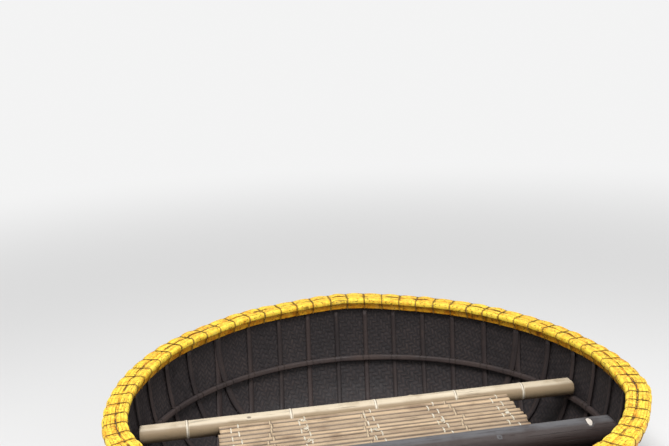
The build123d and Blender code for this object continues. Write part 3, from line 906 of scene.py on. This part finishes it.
def knot(along, across, chance):
    """A knot in the twine on a slat: a three-lobed line, its radius and height waving one and a
    half times as fast as its turn, drawn out at both ends into a short curl."""
    t = np.linspace(-0.62, 2.62, 70) * 2 * np.pi
    beyond = np.maximum(np.abs(t - 2 * np.pi) - 2 * np.pi, 0)
    lobe = 0.0042 + 0.0022 * np.cos(1.5 * t) + 0.0034 * beyond
    spin = t * 0.75 + chance.uniform(0, 6)
    lift = knot_height + 0.0016 * np.sin(1.5 * t) * (beyond == 0) - 0.0002 * beyond
    points = on_bench(along + lobe * np.cos(spin), across + 1.15 * lobe * np.sin(spin), lift)
    return cord(points, twine_thickness, np.array([0.1, 0.2, 1.0]), joined=False,
                number=chance.uniform(0, 99))


twines = []
bottom = bearer_height - bearer_radius - twine_clear
for place in bearer_places:
    side = 1
    corners = []
    for start, stop, middle in zip(gaps, gaps[1:], slat_middles):
        aside = side * twine_aside + chance.uniform(-0.003, 0.003)
        over = top_height + chance.uniform(0, 0.0006)
        corners += [
            (aside, start - 0.0004, side_height), (aside * 0.99, start - 0.005, edge_height),
            (aside, middle, over), (aside * 1.01, stop + 0.005, edge_height),
            (aside, stop + 0.0004, side_height), (aside, stop, gap_height),
            (side * 0.0147, stop, bearer_height), (side * 0.009, stop, bottom + 0.0035),
            (0, stop, bottom), (-side * 0.009, stop, bottom + 0.0035),
            (-side * 0.0147, stop, bearer_height), (-side * twine_aside, stop, gap_height)]
        side = -side
    path = even_steps(np.array(corners[:-6]), 420)
    path[1:-1] = (path[:-2] + 2 * path[1:-1] + path[2:]) / 4
    for beside in (-twine_beside, twine_beside):
        points = on_bench(place + path[:, 0] + beside, path[:, 1], path[:, 2])
        twines.append(cord(points, twine_thickness, on_bench(0.93, 0.06, 0.36), joined=False,
                           number=chance.uniform(0, 99)))
    for k in ([1, 3, 6] if place == bearer_places[1] else [chance.integers(1, 10)]):
        twines.append(knot(place, slat_middles[k], chance))
piece("slat_twine", twines, "pale_cord", twine_finish, "slat_lashings")

# The floor lies at the height to which the loaded boat sinks in, so it goes round the hull: rings
# from the hull's outer face outwards. Far out it fades into the backdrop's own pale tone.
float_height, floor_near, floor_far = 0.175, 1.1, 40
turn = full_turn(160)[:, None]
radius = np.concatenate([
    [wall_inside(float_height, 0.002)], np.geomspace(floor_near, floor_far, 12)])
rings = on_circle(radius, turn, float_height)
numbers = np.arange(rings[..., 0].size).reshape(len(turn), -1)
beyond = np.roll(numbers, -1, 0)
quads = np.stack([numbers[:, :-1], numbers[:, 1:], beyond[:, 1:], beyond[:, :-1]], -1)
floor_mesh = bpy.data.meshes.new("floor")
floor_mesh.from_pydata(rings.reshape(-1, 3).tolist(), [], quads.reshape(-1, 4).tolist())
floor = bpy.data.objects.new("floor", floor_mesh)
bpy.context.scene.collection.objects.link(floor)
pale = Finish("pale floor", 0.8)
pale.feed(pale.shader, "Base Color", (0.72, 0.72, 0.72, 1))
away = pale.node("VectorMath", {"operation": "LENGTH"}, {0: pale.place}, "Value")
haze = pale.node("Emission", {}, {"Strength": 0.9})
lit = Tone(pale, pale.shader.outputs[0])
blend = pale.node("MixShader", {}, {0: pale.rise(away, 2.2, 7.5), 1: lit, 2: haze})
pale.feed(pale.tree.nodes["Material Output"], "Surface", blend)
floor_mesh.materials.append(pale.material)

# Soft light from a pale sky, which shows brighter to the camera and in shiny faces than it lights
# the boat, a wide lamp high in front of the boat and a weaker, lower one at the right.
world = bpy.data.worlds.new("sky")
bpy.context.scene.world = world
sky = Nodes(world)
seen = sky.node("LightPath", {}, {}, "Is Camera Ray")
mirrored = sky.node("LightPath", {}, {}, "Is Glossy Ray")
either = sky.node("Math", {"operation": "MAXIMUM"}, {0: seen, 1: mirrored})
strength = sky.node("MapRange", {}, {"Value": either, "To Min": 0.55, "To Max": 0.9}, "Result")
sky.feed(sky.tree.nodes["Background"], "Strength", strength)
sky.feed(sky.tree.nodes["Background"], "Color", (1, 1, 1, 1))


def stand(name, data, side, upward, back, place):
    """Puts a lamp or the camera at a place, with its X, Y and Z axes along three directions."""
    made = bpy.data.objects.new(name, data)
    rows = np.column_stack([side, upward, back, place])
    made.matrix_world = Matrix([*rows.tolist(), (0, 0, 0, 1)])
    bpy.context.scene.collection.objects.link(made)
    return made


def lamp(name, place, size, power):
    """A square lamp that faces the boat's middle: its own Z axis points away from it."""
    data = bpy.data.lights.new(name, "AREA")
    data.shape, data.size, data.energy = "SQUARE", size, power
    away = np.array(place) - (0, 0, 0.4)
    away /= np.linalg.norm(away)
    side = np.cross((0, 1, 0), away)
    side /= np.linalg.norm(side)
    stand(name, data, side, np.cross(away, side), away, place)


lamp("high lamp", (-0.4, -2.3, 5.6), 2.4, 325)
lamp("fill lamp", (4.0, -3.5, 3.0), 3.5, 80)

# The camera stands 3.7 m in front of the boat's middle and 1.54 m above its rim, looking 13.6
# degrees down, and is tipped 2.3 degrees.
down, tip = np.radians(13.6), np.radians(-2.3)
forward = np.array([0, np.cos(down), -np.sin(down)])
upward = np.array([0, np.sin(down), np.cos(down)])
right = np.cos(tip) * np.array([1, 0, 0]) + np.sin(tip) * upward
above = np.cos(tip) * upward - np.sin(tip) * np.array([1, 0, 0])
view = bpy.data.cameras.new("camera")
view.lens, view.sensor_width = 53.81, 36
bpy.context.scene.camera = stand("camera", view, right, above, -forward, (-0.13, -3.70, 2.20))
bpy.context.scene.view_settings.view_transform = "Standard"
